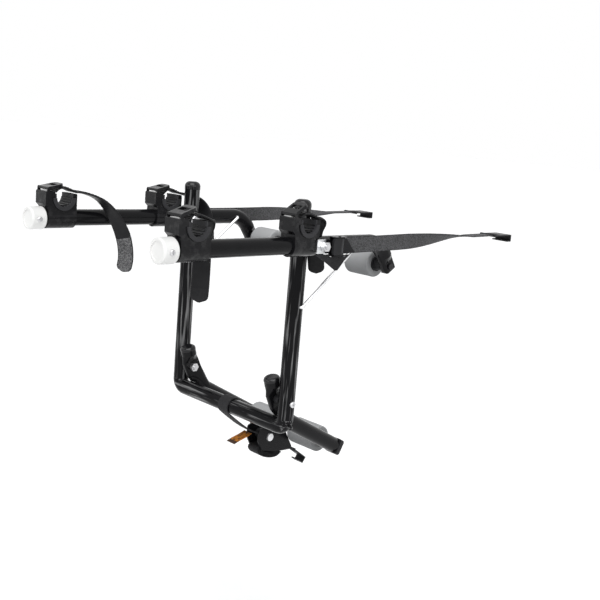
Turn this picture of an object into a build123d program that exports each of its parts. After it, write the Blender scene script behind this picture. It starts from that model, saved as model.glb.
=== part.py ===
"""Trunk mounted bike rack for two bikes.

X runs across the car, Y forward to the car, Z up. The origin is midway between the bolts
that the two carry arms turn on. Right is +X. All lengths are in millimetres.
"""
from build123d import *
from math import acos, atan2, cos, hypot, pi, radians, sin, tan
import os

# Clearances and cutters
running = 0.08              # radial clearance of a pin in its hole
press_gap = 0.1             # radial gap of a fixed plug or sleeve
seat_gap = 0.3              # gap between pieces that move past each other
overrun = 4.0               # how far a cutter runs past the face that it cuts

# Tubes
tube_d = 25.4
tube_wall = 1.8
upright_spread = 263.0      # centre to centre of the two uprights
arm_gap = 6.6               # gap between an arm and its upright
bolt_d = 8.0
bolt_head_d = 17.0
bolt_head_h = 4.2
foot_head_d = 10.0
foot_head_h = 3.0
pad_head_d = 10.0
nut_across = 13.0
nut_h = 6.5

# Main frame, one bent tube
upright_top = 50.0
bar_drop = 288.0            # pivot bolt down to the lower bar
frame_bend = 14.0
foot_bolt_drop = 248.0
brace_drop = 97.0
post_cap_h = 13.0
post_cap_lip = 0.4
post_cap_round = 8.5
plug_depth = 16.0
rivet_d = 7.0
rivet_h = 5.5
rivet_shank_d = 3.2
rivet_tilt_deg = 23.0       # rivet below the middle of the corner's bend
spacer_d = 14.0
buckle_stand = 3.7          # strap buckle's sheet clear of the arm

# Carry arms
arm_rear = 281.0            # pivot bolt to the rear face of the end cap
arm_bend_start = 117.5
arm_bend = 45.0
arm_bend_deg = 57.0
arm_flatten = 10.0          # length over which the tube is pressed flat
arm_flat_long = 17.5
flat_thick = 14.0
flat_wide = 24.0
arm_nose_round = 9.0
end_cap_d = 35.0
end_cap_long = 24.0
end_cap_wall = 5.0
end_cap_round = 2.5
end_cap_dish_d = 25.0
end_cap_dish = 1.2
cap_screw_back = 13.0       # screw behind the cap's front edge
cap_screw_d = 4.0
cap_screw_head_d = 8.0
cap_screw_head_h = 2.4
cap_screw_long = 9.0
cross_wide = 1.0
cross_long = 5.0
cross_deep = 1.4

# Braces
brace_d = 5.0
brace_forward = 118.0       # brace hole in the arm, ahead of the pivot bolt
brace_in_arm = 8.5
brace_bend = 2.7

# Pads that rest on the car
pad_d = 44.0
pad_long = 50.0
foot_pad_long = 58.0
pad_slit = 1.0
pad_slit_deep = 6.0
flange_d = 24.0
flange_thick = 3.2
spool_wall = 2.2
pad_forward = 165.5
pad_drop = 38.5
pad_hub_d = 18.0
pad_hub_long = 12.0         # hub between the arm's flat end and the pad

# Foot frame
strut_gap = 1.0             # strut tube beside the upright tube
strut_top_back = 9.0
strut_top_drop = 218.0
strut_round_long = 9.0
strut_flat_before = 9.0     # flat of the strut above its bolt
strut_flat_after = 11.0
strut_flat_thick = 8.0
strut_flat_wide = 31.0
strut_knee_forward = 26.5
strut_knee_drop = 287.0
strut_knee_run = 7.0
strut_end_forward = 144.0
strut_end_drop = 350.5
strut_bar_gap = 0.5
strut_plug_h = 6.5
strut_plug_round = 5.5
foot_cap = 26.0
foot_cap_long = 9.0
foot_cap_round = 4.0
crossbar_d = 14.0
crossbar_back = 8.7         # crossbar behind the strut's end
crossbar_into_strut = 7.0
foot_pad_gap = 1.0          # spool's hub beside the strut
foot_hub_long = 8.0

# Cradles
cradle_rear_at = 229.0      # rear cradle behind the pivot bolt
cradle_front_at = 30.0
cradle_back = 26.0          # cradle's rear face behind its centre
cradle_front = 22.0
cradle_wide = 30.0
sleeve_wall = 3.4
cup_d = 26.0
cup_lift = 31.4             # cup's centre above the arm's centre line
cushion_thick = 2.2
cushion_lip_thick = 2.0
cushion_lip_deep = 6.0
cradle_front_h = 38.0
cradle_rear_h = 41.5
cradle_strap_wide = 25.0
cradle_strap_thick = 3.0
cradle_bulge = 5.0          # how far the rear wall's top stands back
cradle_bulge_from = 17.0
buckle_wide = 27.0
buckle_long = 27.0
buckle_thick = 4.5
buckle_window_wide = 19.0
buckle_window_long = 9.0
buckle_window_at = 15.0
buckle_tip_round = 6.0
buckle_pin_d = 5.0
buckle_lift = 4.0           # buckle's pin above the rear wall

# Webbing, cam buckles and hooks
web_wide = 25.0
web_thick = 2.0
frame_sheet = 2.0           # sheet metal of a cam buckle
cam_long = 52.0
cam_back = 14.0             # cam buckle behind its bolt
cam_high = 29.0
cam_rear_high = 21.0
cam_flange = 13.0
cam_flange_long = 26.0
cam_pin_d = 4.0
cam_pin_from_end = 13.0
cam_pin_out = 8.0
cam_lever_long = 15.5
cam_lever_d = 9.0
cam_lever_thick = 4.0
cam_bar_d = 3.6
cam_bar_from_end = 3.5
hook_thick = 2.2
hook_wide = 32.0
lower_hook_wide = 20.0
hook_long = 52.0
hook_rim = 3.0
hook_window_long = 17.0
hook_rear_bar = 5.0
hook_lip = 11.0
hook_bend = 4.0
hook_at = 430.0             # rear edge of an upper hook ahead of the pivot bolt
hook_rise = 6.0
hook_inward = 3.0
strap_twist_from = 190.0
strap_twist_to = 372.0
strap_steps = 9
spare_outline = [(-18.0, -11.2), (10.0, -11.2), (11.5, -15.2), (39.0, -15.2), (42.0, -13.2), (62.0, -13.2),
                 (50.0, -23.0), (37.0, -36.5), (30.0, -36.5), (10.0, -26.0)]

# Lower strap
loop_gap = 0.4
lower_knee = (42.0, -338.0) # places on the lower strap as Y and Z
lower_web_end = (71.0, -350.0)
lower_end_run = [(131.5, -377.5), (147.5, -388.0)]
lower_plate = [(57.0, -336.0), (80.0, -330.0), (117.0, -346.0), (139.0, -384.0),
               (97.0, -382.0), (66.0, -374.0), (56.0, -356.0)]
lower_plate_round = 4.0
lower_plate_gap = 0.3
lower_plate_thick = 2.5
lower_pin = (82.0, -353.0)
lower_pin_d = 6.0
lower_pin_head_d = 13.0
lower_pin_head_h = 2.4
lower_drum_d = 17.0
lower_lever_long = 36.0
lower_lever_deg = 20.0
lower_bar = (127.0, -375.0)
lower_bar_d = 5.0
lower_hook_at = (148.0, -388.5)
lower_hook_deg = 35.0
lower_hook_long = 38.0
lower_window_long = 12.0
roll_turns = 4
roll_inner_d = 4.0
roll_core = 17.0            # half the flat middle of the roll
roll_pitch = 2.6
roll_thick = 1.7
roll_points = 12            # points on each turn of the roll
roll_forward = 86.0
roll_drop = 379.0
roll_tilt_deg = 14.0
tag_wide = 20.0
tag_long = 40.0
tag_thick = 0.8
tag_slope_deg = 18.0
tag_forward = 46.0
tag_drop = 341.6

# Worked out from the sizes above
tube_r = tube_d / 2
bore_r = tube_r - tube_wall
upright_x = upright_spread / 2
arm_x = upright_x + tube_d + arm_gap
bolt_r = bolt_d / 2
bolt_hole_r = bolt_r + running
brace_x = arm_x - tube_r - arm_gap / 2
strut_x = upright_x - tube_d - strut_gap
outer_face = arm_x + tube_r
cam_pin_at = cam_long - cam_pin_from_end
cam_bar_at = cam_long - cam_bar_from_end


def across(radius, low, high, y=0.0, z=0.0):
    """A round bar along X from low to high."""
    centre = Pos((low + high) / 2, y, z)
    return centre * Rot(Y=90) * Cylinder(radius, high - low)


def along_y(radius, low, high, x=0.0, z=0.0):
    """A round bar along Y from low to high."""
    return Pos(x, (low + high) / 2, z) * Rot(X=90) * Cylinder(radius, high - low)


def block(x, y, z):
    """A box from three pairs of low and high."""
    size = [pair[1] - pair[0] for pair in (x, y, z)]
    middle = [(pair[0] + pair[1]) / 2 for pair in (x, y, z)]
    return Pos(*middle) * Box(*size)


def mirrored(piece, side):
    """The piece for the right side, or its mirror image for the left."""
    return piece if side > 0 else mirror(piece, about=Plane.YZ)


def nut(low, high, y=0.0, z=0.0):
    """A hexagon nut round a bolt along X."""
    plane = Plane(origin=(low, y, z), x_dir=(0, 1, 0), z_dir=(1, 0, 0))
    outline = RegularPolygon(nut_across / 2, 6, major_radius=False) - Circle(bolt_hole_r)
    return extrude(plane * outline, high - low)


def ribbon(points, wide, thick):
    """A flat strap whose width stays along X, through points in space."""
    sections = []
    for number, point in enumerate(points):
        before = Vector(*points[max(number - 1, 0)])
        after = Vector(*points[min(number + 1, len(points) - 1)])
        run = after - before
        way = Vector(0, run.Y, run.Z)
        plane = Plane(origin=point, x_dir=(1, 0, 0), z_dir=way)
        sections.append(plane * Rectangle(wide, thick))
    return loft(sections, ruled=True)


# Main frame: two uprights and the lower bar, bent from one tube, with bolt holes
def main_frame():
    corners = [
        (upright_x, 0, upright_top),
        (upright_x, 0, -bar_drop),
        (-upright_x, 0, -bar_drop),
        (-upright_x, 0, upright_top),
    ]
    path = FilletPolyline(*corners, radius=frame_bend)
    ring = Circle(tube_r) - Circle(bore_r)
    frame = sweep(Plane(origin=path @ 0, z_dir=path % 0) * ring, path=path)
    for side in (-1, 1):
        inner = side * upright_x - tube_r - overrun
        outer = side * upright_x + tube_r + overrun
        frame -= across(bolt_hole_r, inner, outer)
        frame -= across(bolt_hole_r, inner, outer, z=-foot_bolt_drop)
        face = frame_bend + tube_r
        hole = across(rivet_shank_d / 2 + press_gap, face - tube_d / 2, face + overrun)
        frame -= mirrored(rivet_place() * hole, side)
    return frame


# Domed caps that close the tops of the uprights
def post_caps():
    head = Pos(0, 0, upright_top + post_cap_h / 2) * Cylinder(tube_r + post_cap_lip, post_cap_h)
    head = fillet(head.edges().group_by(Axis.Z)[-1], post_cap_round)
    plug = Pos(0, 0, upright_top - plug_depth / 2) * Cylinder(bore_r - press_gap, plug_depth)
    cap = head + plug
    return Compound([Pos(side * upright_x, 0, 0) * cap for side in (-1, 1)])


# Button rivets on the outside of the two lower corners
def rivet_place():
    centre = Pos(upright_x - frame_bend, 0, -bar_drop + frame_bend)
    return centre * Rot(Y=rivet_tilt_deg)


def corner_rivets():
    face = frame_bend + tube_r
    head = across(rivet_d / 2, face, face + rivet_h)
    head = fillet(head.edges().group_by(Axis.X)[-1], rivet_h / 3)
    shank = across(rivet_shank_d / 2, face - tube_wall * 2, face + rivet_h / 2)
    rivet = rivet_place() * (head + shank)
    return Compound([mirrored(rivet, side) for side in (-1, 1)])


# Bolts that the arms turn on, heads inside the uprights, nuts outside the cam buckles
def pivot_bolts():
    head_face = upright_x - tube_r
    tip = outer_face + buckle_stand + frame_sheet + seat_gap + nut_h + bolt_r / 2
    head = across(bolt_head_d / 2, head_face - bolt_head_h, head_face)
    head = fillet(head.edges().group_by(Axis.X)[0], bolt_head_h / 2)
    bolt = head + across(bolt_r, head_face - bolt_head_h / 2, tip)
    return Compound([mirrored(bolt, side) for side in (-1, 1)])


# Bolts that the foot frame turns on, heads outside the uprights
def foot_bolts():
    face = upright_x + tube_r
    tip = strut_x - strut_flat_thick / 2 - seat_gap - nut_h - bolt_r / 2
    head = across(foot_head_d / 2, face, face + foot_head_h, z=-foot_bolt_drop)
    head = fillet(head.edges().group_by(Axis.X)[-1], foot_head_h / 2)
    slot_x = (face + foot_head_h - cross_deep, face + foot_head_h + overrun)
    for wide, high in ((cross_wide, cross_long), (cross_long, cross_wide)):
        z = (-foot_bolt_drop - high / 2, -foot_bolt_drop + high / 2)
        head -= block(slot_x, (-wide / 2, wide / 2), z)
    bolt = head + across(bolt_r, tip, face + foot_head_h / 3, z=-foot_bolt_drop)
    return Compound([mirrored(bolt, side) for side in (-1, 1)])


# Nuts of the four bolts, outside the cam buckles and inside the foot struts
def bolt_nuts():
    outside = outer_face + buckle_stand + frame_sheet + seat_gap
    inside = strut_x - strut_flat_thick / 2 - seat_gap
    pair = [nut(outside, outside + nut_h), nut(inside - nut_h, inside, z=-foot_bolt_drop)]
    return Compound([mirrored(piece, side) for piece in pair for side in (-1, 1)])


# Spacers that hold the arms, buckles and foot struts clear of their neighbours
def bolt_spacers():
    upper = (upright_x + tube_r, arm_x - tube_r - seat_gap, 0)
    outside = (outer_face + seat_gap, outer_face + buckle_stand - seat_gap, 0)
    lower = (strut_x + strut_flat_thick / 2 + seat_gap, upright_x - tube_r, -foot_bolt_drop)
    rings = []
    for low, high, z in (upper, outside, lower):
        hole = across(bolt_hole_r, low - overrun, high + overrun, z=z)
        ring = across(spacer_d / 2, low, high, z=z) - hole
        rings += [mirrored(ring, side) for side in (-1, 1)]
    return Compound(rings)


# Carry arm: a tube bent down at its front end and pressed flat to carry the pad bolt
def carry_arm(side):
    turn = radians(arm_bend_deg)
    corner_y = arm_bend_start + arm_bend * tan(turn / 2)
    way = (0, cos(turn), -sin(turn))
    run = arm_bend * tan(turn / 2) + tube_wall
    bend_end = (arm_x, corner_y + run * way[1], run * way[2])
    tube_end = -arm_rear + end_cap_wall + press_gap
    path = FilletPolyline((arm_x, tube_end, 0), (arm_x, corner_y, 0), bend_end, radius=arm_bend)
    ring = Circle(tube_r) - Circle(bore_r)
    arm = sweep(Plane(origin=path @ 0, z_dir=path % 0) * ring, path=path)
    flat_start = [bend_end[i] + arm_flatten * way[i] for i in range(3)]
    round_end = Plane(origin=bend_end, x_dir=(1, 0, 0), z_dir=way)
    flat_end = Plane(origin=flat_start, x_dir=(1, 0, 0), z_dir=way)
    pressed = RectangleRounded(flat_thick, flat_wide, flat_thick / 3)
    arm += loft([round_end * Circle(tube_r), flat_end * pressed])
    nose = extrude(flat_end * pressed, arm_flat_long)
    corner = Vector(*flat_start) + Vector(*way) * arm_flat_long
    keep_long = flat_wide / 2 - arm_nose_round
    square = Plane(origin=corner, x_dir=(1, 0, 0), z_dir=way)
    blank = square * Pos(0, 0, -arm_flat_long) * extrude(Rectangle(flat_wide, flat_wide), arm_flat_long)
    blank = fillet(blank.edges().filter_by(Axis.X).sort_by(Axis.Z)[:2], keep_long)
    arm += nose & blank
    arm -= across(bolt_hole_r, arm_x - tube_d, arm_x + tube_d)
    arm -= across(bolt_hole_r, arm_x - tube_d, arm_x + tube_d, y=pad_forward, z=-pad_drop)
    arm -= across(brace_d / 2 + running, arm_x - tube_d, arm_x, y=brace_forward)
    arm = mirrored(arm, side)
    screw_y = -arm_rear + end_cap_long - cap_screw_back
    middle = side * arm_x
    return arm - across(cap_screw_d / 2 + press_gap, middle, middle + tube_d, y=screw_y)


# End cap of an arm, with a dished rear face, and its cross-head screw
def end_cap(side):
    rear = -arm_rear
    cap = along_y(end_cap_d / 2, rear, rear + end_cap_long)
    cap = fillet(cap.edges(), end_cap_round)
    cap -= along_y(tube_r + press_gap, rear + end_cap_wall, rear + end_cap_long + overrun)
    cap -= along_y(end_cap_dish_d / 2, rear - overrun, rear + end_cap_dish)
    screw_y = rear + end_cap_long - cap_screw_back
    cap -= across(cap_screw_d / 2 + press_gap, 0, end_cap_d, y=screw_y)
    return Pos(side * arm_x, 0, 0) * cap


def end_cap_screw(side):
    face = end_cap_d / 2
    y = -arm_rear + end_cap_long - cap_screw_back
    head = across(cap_screw_head_d / 2, face, face + cap_screw_head_h, y=y)
    head = fillet(head.edges().group_by(Axis.X)[-1], cap_screw_head_h / 2)
    slot_x = (face + cap_screw_head_h - cross_deep, face + cap_screw_head_h + overrun)
    for long_y, long_z in ((cross_wide, cross_long), (cross_long, cross_wide)):
        head -= block(slot_x, (y - long_y / 2, y + long_y / 2), (-long_z / 2, long_z / 2))
    screw = head + across(cap_screw_d / 2, face - cap_screw_long, face, y=y)
    return Pos(side * arm_x, 0, 0) * screw


# Brace: a plated rod between the arm and the upright, turned in at both ends
def brace_rod(side):
    corners = [
        (brace_x + brace_in_arm, brace_forward, 0),
        (brace_x, brace_forward, 0),
        (brace_x, 0, -brace_drop),
        (upright_x + tube_r + seat_gap, 0, -brace_drop),
    ]
    path = FilletPolyline(*corners, radius=brace_bend)
    piece = sweep(Plane(origin=path @ 0, z_dir=path % 0) * Circle(brace_d / 2), path=path)
    return mirrored(piece, side)


# Foam pad with its slit, between the flanges of a spool that turns on a bolt or bar
def foam_pad(low, long, core_r, y, z):
    foam = across(pad_d / 2, low, low + long, y, z)
    foam = fillet(foam.edges(), flange_thick / 2)
    foam -= across(core_r + spool_wall + press_gap, low - overrun, low + long + overrun, y, z)
    slit_z = (z + pad_d / 2 - pad_slit_deep, z + pad_d / 2 + overrun)
    slit_y = (y - pad_slit / 2, y + pad_slit / 2)
    return foam - block((low - overrun, low + long + overrun), slit_y, slit_z)


def pad_spool(low, long, hub_long, core_r, y, z):
    high = low + long
    spool = across(core_r + spool_wall, low - flange_thick, high + flange_thick, y, z)
    for start in (low - flange_thick, high):
        spool += across(flange_d / 2, start, start + flange_thick, y, z)
    end = high + flange_thick + hub_long
    spool += across(pad_hub_d / 2, high + flange_thick / 2, end, y, z)
    return spool - across(core_r + running, low - flange_thick - overrun, end + overrun, y, z)


def upper_pad_low():
    return arm_x - flat_thick / 2 - seat_gap - pad_hub_long - flange_thick - pad_long


def upper_pad(side):
    return mirrored(foam_pad(upper_pad_low(), pad_long, bolt_r, pad_forward, -pad_drop), side)


def upper_pad_spool(side):
    spool = pad_spool(upper_pad_low(), pad_long, pad_hub_long, bolt_r, pad_forward, -pad_drop)
    return mirrored(spool, side)


def upper_pad_bolt(side):
    inner = upper_pad_low() - flange_thick - seat_gap
    outer = arm_x + flat_thick / 2
    y, z = pad_forward, -pad_drop
    head = across(pad_head_d / 2, outer, outer + foot_head_h, y, z)
    head = fillet(head.edges().group_by(Axis.X)[-1], foot_head_h / 3)
    keeper = across(nut_across / 2, inner - nut_h, inner, y, z)
    keeper = fillet(keeper.edges().group_by(Axis.X)[0], nut_h / 3)
    shank = across(bolt_r, inner - nut_h / 2, outer + foot_head_h / 2, y, z)
    return mirrored(head + keeper + shank, side)


# Foot strut: a short handle stub, pressed flat at its bolt, then a leg that runs forward
def strut_way(start, end):
    run = hypot(end[0] - start[0], end[1] - start[1])
    return (0, (end[0] - start[0]) / run, (end[1] - start[1]) / run)


def strut_points():
    """Top, bolt, knee and end of the strut, as pairs of Y and Z."""
    top = (-strut_top_back, -strut_top_drop)
    bolt = (0, -foot_bolt_drop)
    knee = (strut_knee_forward, -strut_knee_drop)
    end = (strut_end_forward, -strut_end_drop)
    return top, bolt, knee, end


def strut_plane(point, way, distance):
    origin = (strut_x, point[0] + way[1] * distance, point[1] + way[2] * distance)
    return Plane(origin=origin, x_dir=(1, 0, 0), z_dir=way)


def foot_strut(side):
    top, bolt, knee, end = strut_points()
    down = strut_way(top, bolt)
    bend = strut_way(bolt, knee)
    leg = strut_way(knee, end)
    pressed = RectangleRounded(strut_flat_thick, strut_flat_wide, strut_flat_thick / 3)
    stub_end = strut_plane(top, down, strut_round_long)
    flat_top = strut_plane(bolt, down, -strut_flat_before)
    flat_low = strut_plane(bolt, bend, strut_flat_after)
    leg_start = strut_plane(knee, leg, strut_knee_run)
    strut = extrude(strut_plane(top, down, 0) * Circle(tube_r), strut_round_long)
    strut += loft([stub_end * Circle(tube_r), flat_top * pressed])
    strut += loft([flat_top * pressed, flat_low * pressed], ruled=True)
    strut += loft([flat_low * pressed, leg_start * Circle(tube_r)])
    leg_long = hypot(end[0] - knee[0], end[1] - knee[1]) - strut_knee_run
    strut += extrude(leg_start * Circle(tube_r), leg_long)
    strut -= extrude(leg_start * Circle(bore_r), leg_long + overrun)
    strut -= across(tube_r + strut_bar_gap, strut_x - tube_d, strut_x + tube_d, z=-bar_drop)
    strut -= across(bolt_hole_r, strut_x - tube_d, strut_x + tube_d, z=-foot_bolt_drop)
    y, z = crossbar_place()
    strut -= across(crossbar_d / 2 + press_gap, strut_x - tube_d, strut_x, y, z)
    return mirrored(strut, side)


def crossbar_place():
    top, bolt, knee, end = strut_points()
    leg = strut_way(knee, end)
    return end[0] - leg[1] * crossbar_back, end[1] - leg[2] * crossbar_back


def strut_plugs():
    top, bolt, knee, end = strut_points()
    down = strut_way(top, bolt)
    up = (0, -down[1], -down[2])
    plane = Plane(origin=(strut_x, top[0], top[1]), x_dir=(1, 0, 0), z_dir=up)
    plug = Cylinder(tube_r + post_cap_lip, strut_plug_h)
    plug = plane * Pos(0, 0, strut_plug_h / 2) * fillet(plug.edges().group_by(Axis.Z)[-1], strut_plug_round)
    return Compound([mirrored(plug, side) for side in (-1, 1)])


def foot_end_caps():
    top, bolt, knee, end = strut_points()
    plane = strut_plane(end, strut_way(knee, end), 0)
    shell = Pos(0, 0, foot_cap_long / 2) * Box(foot_cap, foot_cap, foot_cap_long)
    shell = fillet(shell.edges().filter_by(Axis.Z), foot_cap_round)
    shell = fillet(shell.edges().group_by(Axis.Z)[-1], foot_cap_round / 3)
    cap = plane * shell
    return Compound([mirrored(cap, side) for side in (-1, 1)])


# Crossbar of the foot frame, and the two pads that turn on it
def crossbar():
    y, z = crossbar_place()
    end = strut_x - tube_r + crossbar_into_strut
    return across(crossbar_d / 2, -end, end, y, z)


def foot_pad_low():
    return strut_x - tube_r - foot_pad_gap - foot_hub_long - flange_thick - foot_pad_long


def foot_pad(side):
    foam = foam_pad(foot_pad_low(), foot_pad_long, crossbar_d / 2, *crossbar_place())
    return mirrored(foam, side)


def foot_pad_spool(side):
    place = crossbar_place()
    spool = pad_spool(foot_pad_low(), foot_pad_long, foot_hub_long, crossbar_d / 2, *place)
    return mirrored(spool, side)


# Cradle: a saddle round the arm with a rear wall, a lower front wall and a round cup
def cup_outline(radius, top):
    """A U of the given radius, open at the top, in Y and Z."""
    above = Pos(0, cup_lift + radius) * Rectangle(2 * radius, 2 * radius)
    outline = Pos(0, cup_lift) * Circle(radius) - above
    return outline + Pos(0, (cup_lift + top) / 2) * Rectangle(2 * radius, top - cup_lift)


def extrude_across(outline, low, high):
    """An outline drawn in Y and Z, given its thickness along X."""
    plane = Plane(origin=(low, 0, 0), x_dir=(0, 1, 0), z_dir=(1, 0, 0))
    return extrude(plane * outline, high - low)


def cradle_base():
    width = cradle_back + cradle_front
    middle = (cradle_front - cradle_back) / 2
    saddle = Pos(middle, cradle_front_h / 2) * Rectangle(width, cradle_front_h)
    cup_r = cup_d / 2 + cushion_thick + press_gap
    back = cradle_back + cradle_bulge
    wall = make_face(Polyline(
        (-cup_r, 0), (-cradle_back, 0), (-cradle_back, cradle_bulge_from),
        (-back, cradle_bulge_from + cradle_bulge), (-back, cradle_rear_h),
        (-cup_r, cradle_rear_h), close=True))
    outline = saddle + wall - cup_outline(cup_r, cradle_rear_h + overrun)
    top_corners = outline.vertices().sort_by(Axis.Y)[-4:]
    outline = fillet(top_corners, (cradle_front - cup_r) / 3)
    base = extrude_across(outline, -cradle_wide / 2, cradle_wide / 2)
    base += along_y(tube_r + sleeve_wall, -cradle_back, cradle_front)
    base -= along_y(tube_r + press_gap, -cradle_back - overrun, cradle_front + overrun)
    return base


def cradle_cushion():
    outer = cup_outline(cup_d / 2 + cushion_thick, cradle_front_h)
    inner = cup_outline(cup_d / 2, cradle_front_h + overrun)
    half = cradle_wide / 2 + press_gap
    band = extrude_across(outer - inner, -half, half)
    lip = Pos(0, cup_lift) * Circle(cup_d / 2 + cushion_lip_deep) - inner
    lip -= Pos(0, cup_lift + cup_d) * Rectangle(cup_d * 2, cup_d * 2)
    for side in (-1, 1):
        low, high = sorted([side * half, side * (half + cushion_lip_thick)])
        band += extrude_across(lip, low, high)
    return band


# Rubber strap of a cradle, over the cup and then hanging on the inner side of the arm.
# Each tail's points are set by hand, as millimetres inward, forward and up from the
# arm's centre line under the cup.
strap_crown = 46.2
tail_rows = {
    "left_rear": [(3, 29, 40), (9, 41, 38), (17, 55, 33), (24, 67, 23), (28, 79, 8),
                  (29, 90, -9), (29, 99, -26), (29, 105, -48), (29, 106, -70), (29, 101, -84)],
    "right_rear": [(4, 28, 38.5), (10, 34, 34), (19, 40, 27), (26, 43, 16), (29, 44, 1),
                   (29, 44, -18), (29, 44, -40), (29, 44, -60), (29, 43, -78)],
    "left_front": [(1, 28, 39.5), (3, 36, 38), (9, 45, 35), (19, 52, 28), (29, 58, 17),
                   (33, 62, 1), (33, 65, -19), (33, 67, -40), (33, 68, -60)],
    "right_front": [(1, 28, 39.5), (3, 36, 37), (10, 44, 32), (21, 50, 23), (30, 56, 10),
                    (33, 61, -6), (33, 66, -22), (33, 70, -38), (33, 72, -50)],
}


def cradle_strap(side, row):
    wall_face = -cup_d / 2 - cushion_thick - press_gap
    span = [
        (0, wall_face + cradle_strap_thick, strap_crown - cradle_strap_thick * 2),
        (0, wall_face / 2, strap_crown - cradle_strap_thick / 4),
        (0, 0, strap_crown),
        (0, -wall_face / 2, strap_crown - cradle_strap_thick / 4),
        (0, cradle_front, cradle_front_h + cradle_strap_thick / 2 + seat_gap),
    ]
    inward = [(-side * x, y, z) for x, y, z in tail_rows[row]]
    return ribbon(span + inward, cradle_strap_wide, cradle_strap_thick)


# Buckle of a cradle: a flat frame on a pin above the rear wall
def cradle_buckle(tilt_deg):
    plate = Pos(0, buckle_long / 2) * Rectangle(buckle_wide, buckle_long)
    plate = fillet(plate.vertices().sort_by(Axis.Y)[-2:], buckle_tip_round)
    plate -= Pos(0, buckle_window_at) * Rectangle(buckle_window_wide, buckle_window_long)
    body = Pos(0, 0, -buckle_thick / 2) * extrude(plate, buckle_thick)
    body += across(buckle_thick / 2, -buckle_wide / 2, buckle_wide / 2)
    body -= across(buckle_pin_d / 4 + running, -buckle_wide, buckle_wide)
    y, z = buckle_pin_place()
    return Pos(0, y, z) * Rot(X=tilt_deg) * body


def buckle_pin_place():
    return -cradle_back - cradle_bulge + buckle_thick, cradle_rear_h + buckle_lift


def cradle_pin():
    """The buckle's pin in two ears on the rear wall."""
    y, z = buckle_pin_place()
    low = buckle_wide / 2 + seat_gap
    high = cradle_wide / 2
    piece = across(buckle_pin_d / 4, -high, high, y, z)
    for side in (-1, 1):
        x = sorted([side * low, side * high])
        ear = block(x, (y - buckle_pin_d / 2, y + buckle_pin_d / 2), (cradle_rear_h - press_gap, z))
        piece += ear + across(buckle_pin_d / 2, *x, y, z)
    return piece


# Cam buckle, laid out along Y with its sheet facing +X, and its thumb lever
def cam_frame():
    step = cam_long - cam_flange_long - cam_back
    plate = block((0, frame_sheet), (step, cam_long - cam_back), (-cam_high / 2, cam_high / 2))
    plate += block((0, frame_sheet), (-cam_back, step), (-cam_rear_high / 2, cam_rear_high / 2))
    plate = fillet(plate.edges().filter_by(Axis.X).sort_by(Axis.Y)[:2], frame_sheet)
    for side in (-1, 1):
        z = sorted([side * cam_high / 2, side * (cam_high / 2 - frame_sheet)])
        flange = block((0, cam_flange), (cam_long - cam_flange_long - cam_back, cam_long - cam_back), z)
        plate += fillet(flange.edges().filter_by(Axis.Z).sort_by(Axis.X)[-2:], cam_flange / 3)
    bar = Cylinder(cam_bar_d / 2, cam_high - frame_sheet)
    plate += Pos(cam_flange / 2, cam_bar_at - cam_back, 0) * bar
    pin = Cylinder(cam_pin_d / 2, cam_high + frame_sheet)
    plate += Pos(cam_pin_out, cam_pin_at - cam_back, 0) * pin
    return plate - across(bolt_hole_r, -overrun, frame_sheet + overrun)


def cam_lever():
    inside = cam_high / 2 - frame_sheet - seat_gap
    drum = Cylinder(cam_lever_d / 2, 2 * inside)
    tongue = block((0, cam_lever_thick), (-cam_lever_long, 0), (-inside, inside))
    tongue = fillet(tongue.edges().filter_by(Axis.X).sort_by(Axis.Y)[:2], cam_lever_thick)
    lever = drum + Pos(cam_lever_d / 2 - cam_lever_thick, 0, 0) * tongue
    lever -= Cylinder(cam_pin_d / 2 + running, cam_high)
    return Pos(cam_pin_out, cam_pin_at - cam_back, 0) * lever


def upper_buckle_place():
    return Pos(outer_face + buckle_stand, 0, 0)


def upper_buckle(side):
    return mirrored(upper_buckle_place() * cam_frame(), side)


def upper_buckle_lever(side):
    return mirrored(upper_buckle_place() * cam_lever(), side)


# Upper strap: webbing on edge beside the arm, turning flat on its way to the hook
def upper_strap(side):
    start = cam_bar_at - cam_back + cam_bar_d
    end = hook_at - seat_gap
    x_start = outer_face + seat_gap + web_thick
    x_end = arm_x + hook_inward
    sections = []
    for step in range(strap_steps + 1):
        share = step / strap_steps
        y = start + (end - start) * share
        turned = min(max((y - strap_twist_from) / (strap_twist_to - strap_twist_from), 0), 1)
        angle = pi / 2 * (1 - turned)
        near_buckle = max(1 - step, 0)
        x = x_start + (x_end - x_start) * turned + near_buckle * web_thick
        z = hook_rise * share
        plane = Plane(origin=(x, y, z), x_dir=(cos(angle), 0, sin(angle)), z_dir=(0, 1, 0))
        sections.append(plane * Rectangle(web_wide, web_thick))
    return mirrored(loft(sections, ruled=True), side)


# Loose end of the upper strap, folded down under the arm and cut off at a slant
def upper_strap_tail(side):
    low = outer_face + buckle_stand + frame_sheet
    outline = make_face(Polyline(*spare_outline, close=True))
    tail = extrude_across(outline, low, low + web_thick)
    return mirrored(tail, side)


# Flat hook with a window for the webbing and a lip that grips the edge of a panel
def flat_hook(long, wide, window_long):
    plate = Pos(0, long / 2) * Rectangle(wide, long)
    plate -= Pos(0, hook_rear_bar + window_long / 2) * Rectangle(wide - 2 * hook_rim, window_long)
    body = extrude(plate, hook_thick)
    x = (-wide / 2, wide / 2)
    body += across(hook_rear_bar / 2, *x, hook_rear_bar / 2, hook_thick / 2)
    body += block(x, (long - hook_thick, long), (-hook_bend * 2, 0))
    body += block(x, (long - hook_lip, long), (-hook_bend * 2 - hook_thick, -hook_bend * 2))
    edges = body.edges().filter_by(Axis.X).sort_by(Axis.Y)[-2:]
    return Pos(0, 0, -hook_thick / 2) * fillet(edges, hook_thick / 2)


def upper_hook(side):
    place = Pos(arm_x + hook_inward, hook_at, hook_rise)
    return mirrored(place * flat_hook(hook_long, hook_wide, hook_window_long), side)


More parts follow.
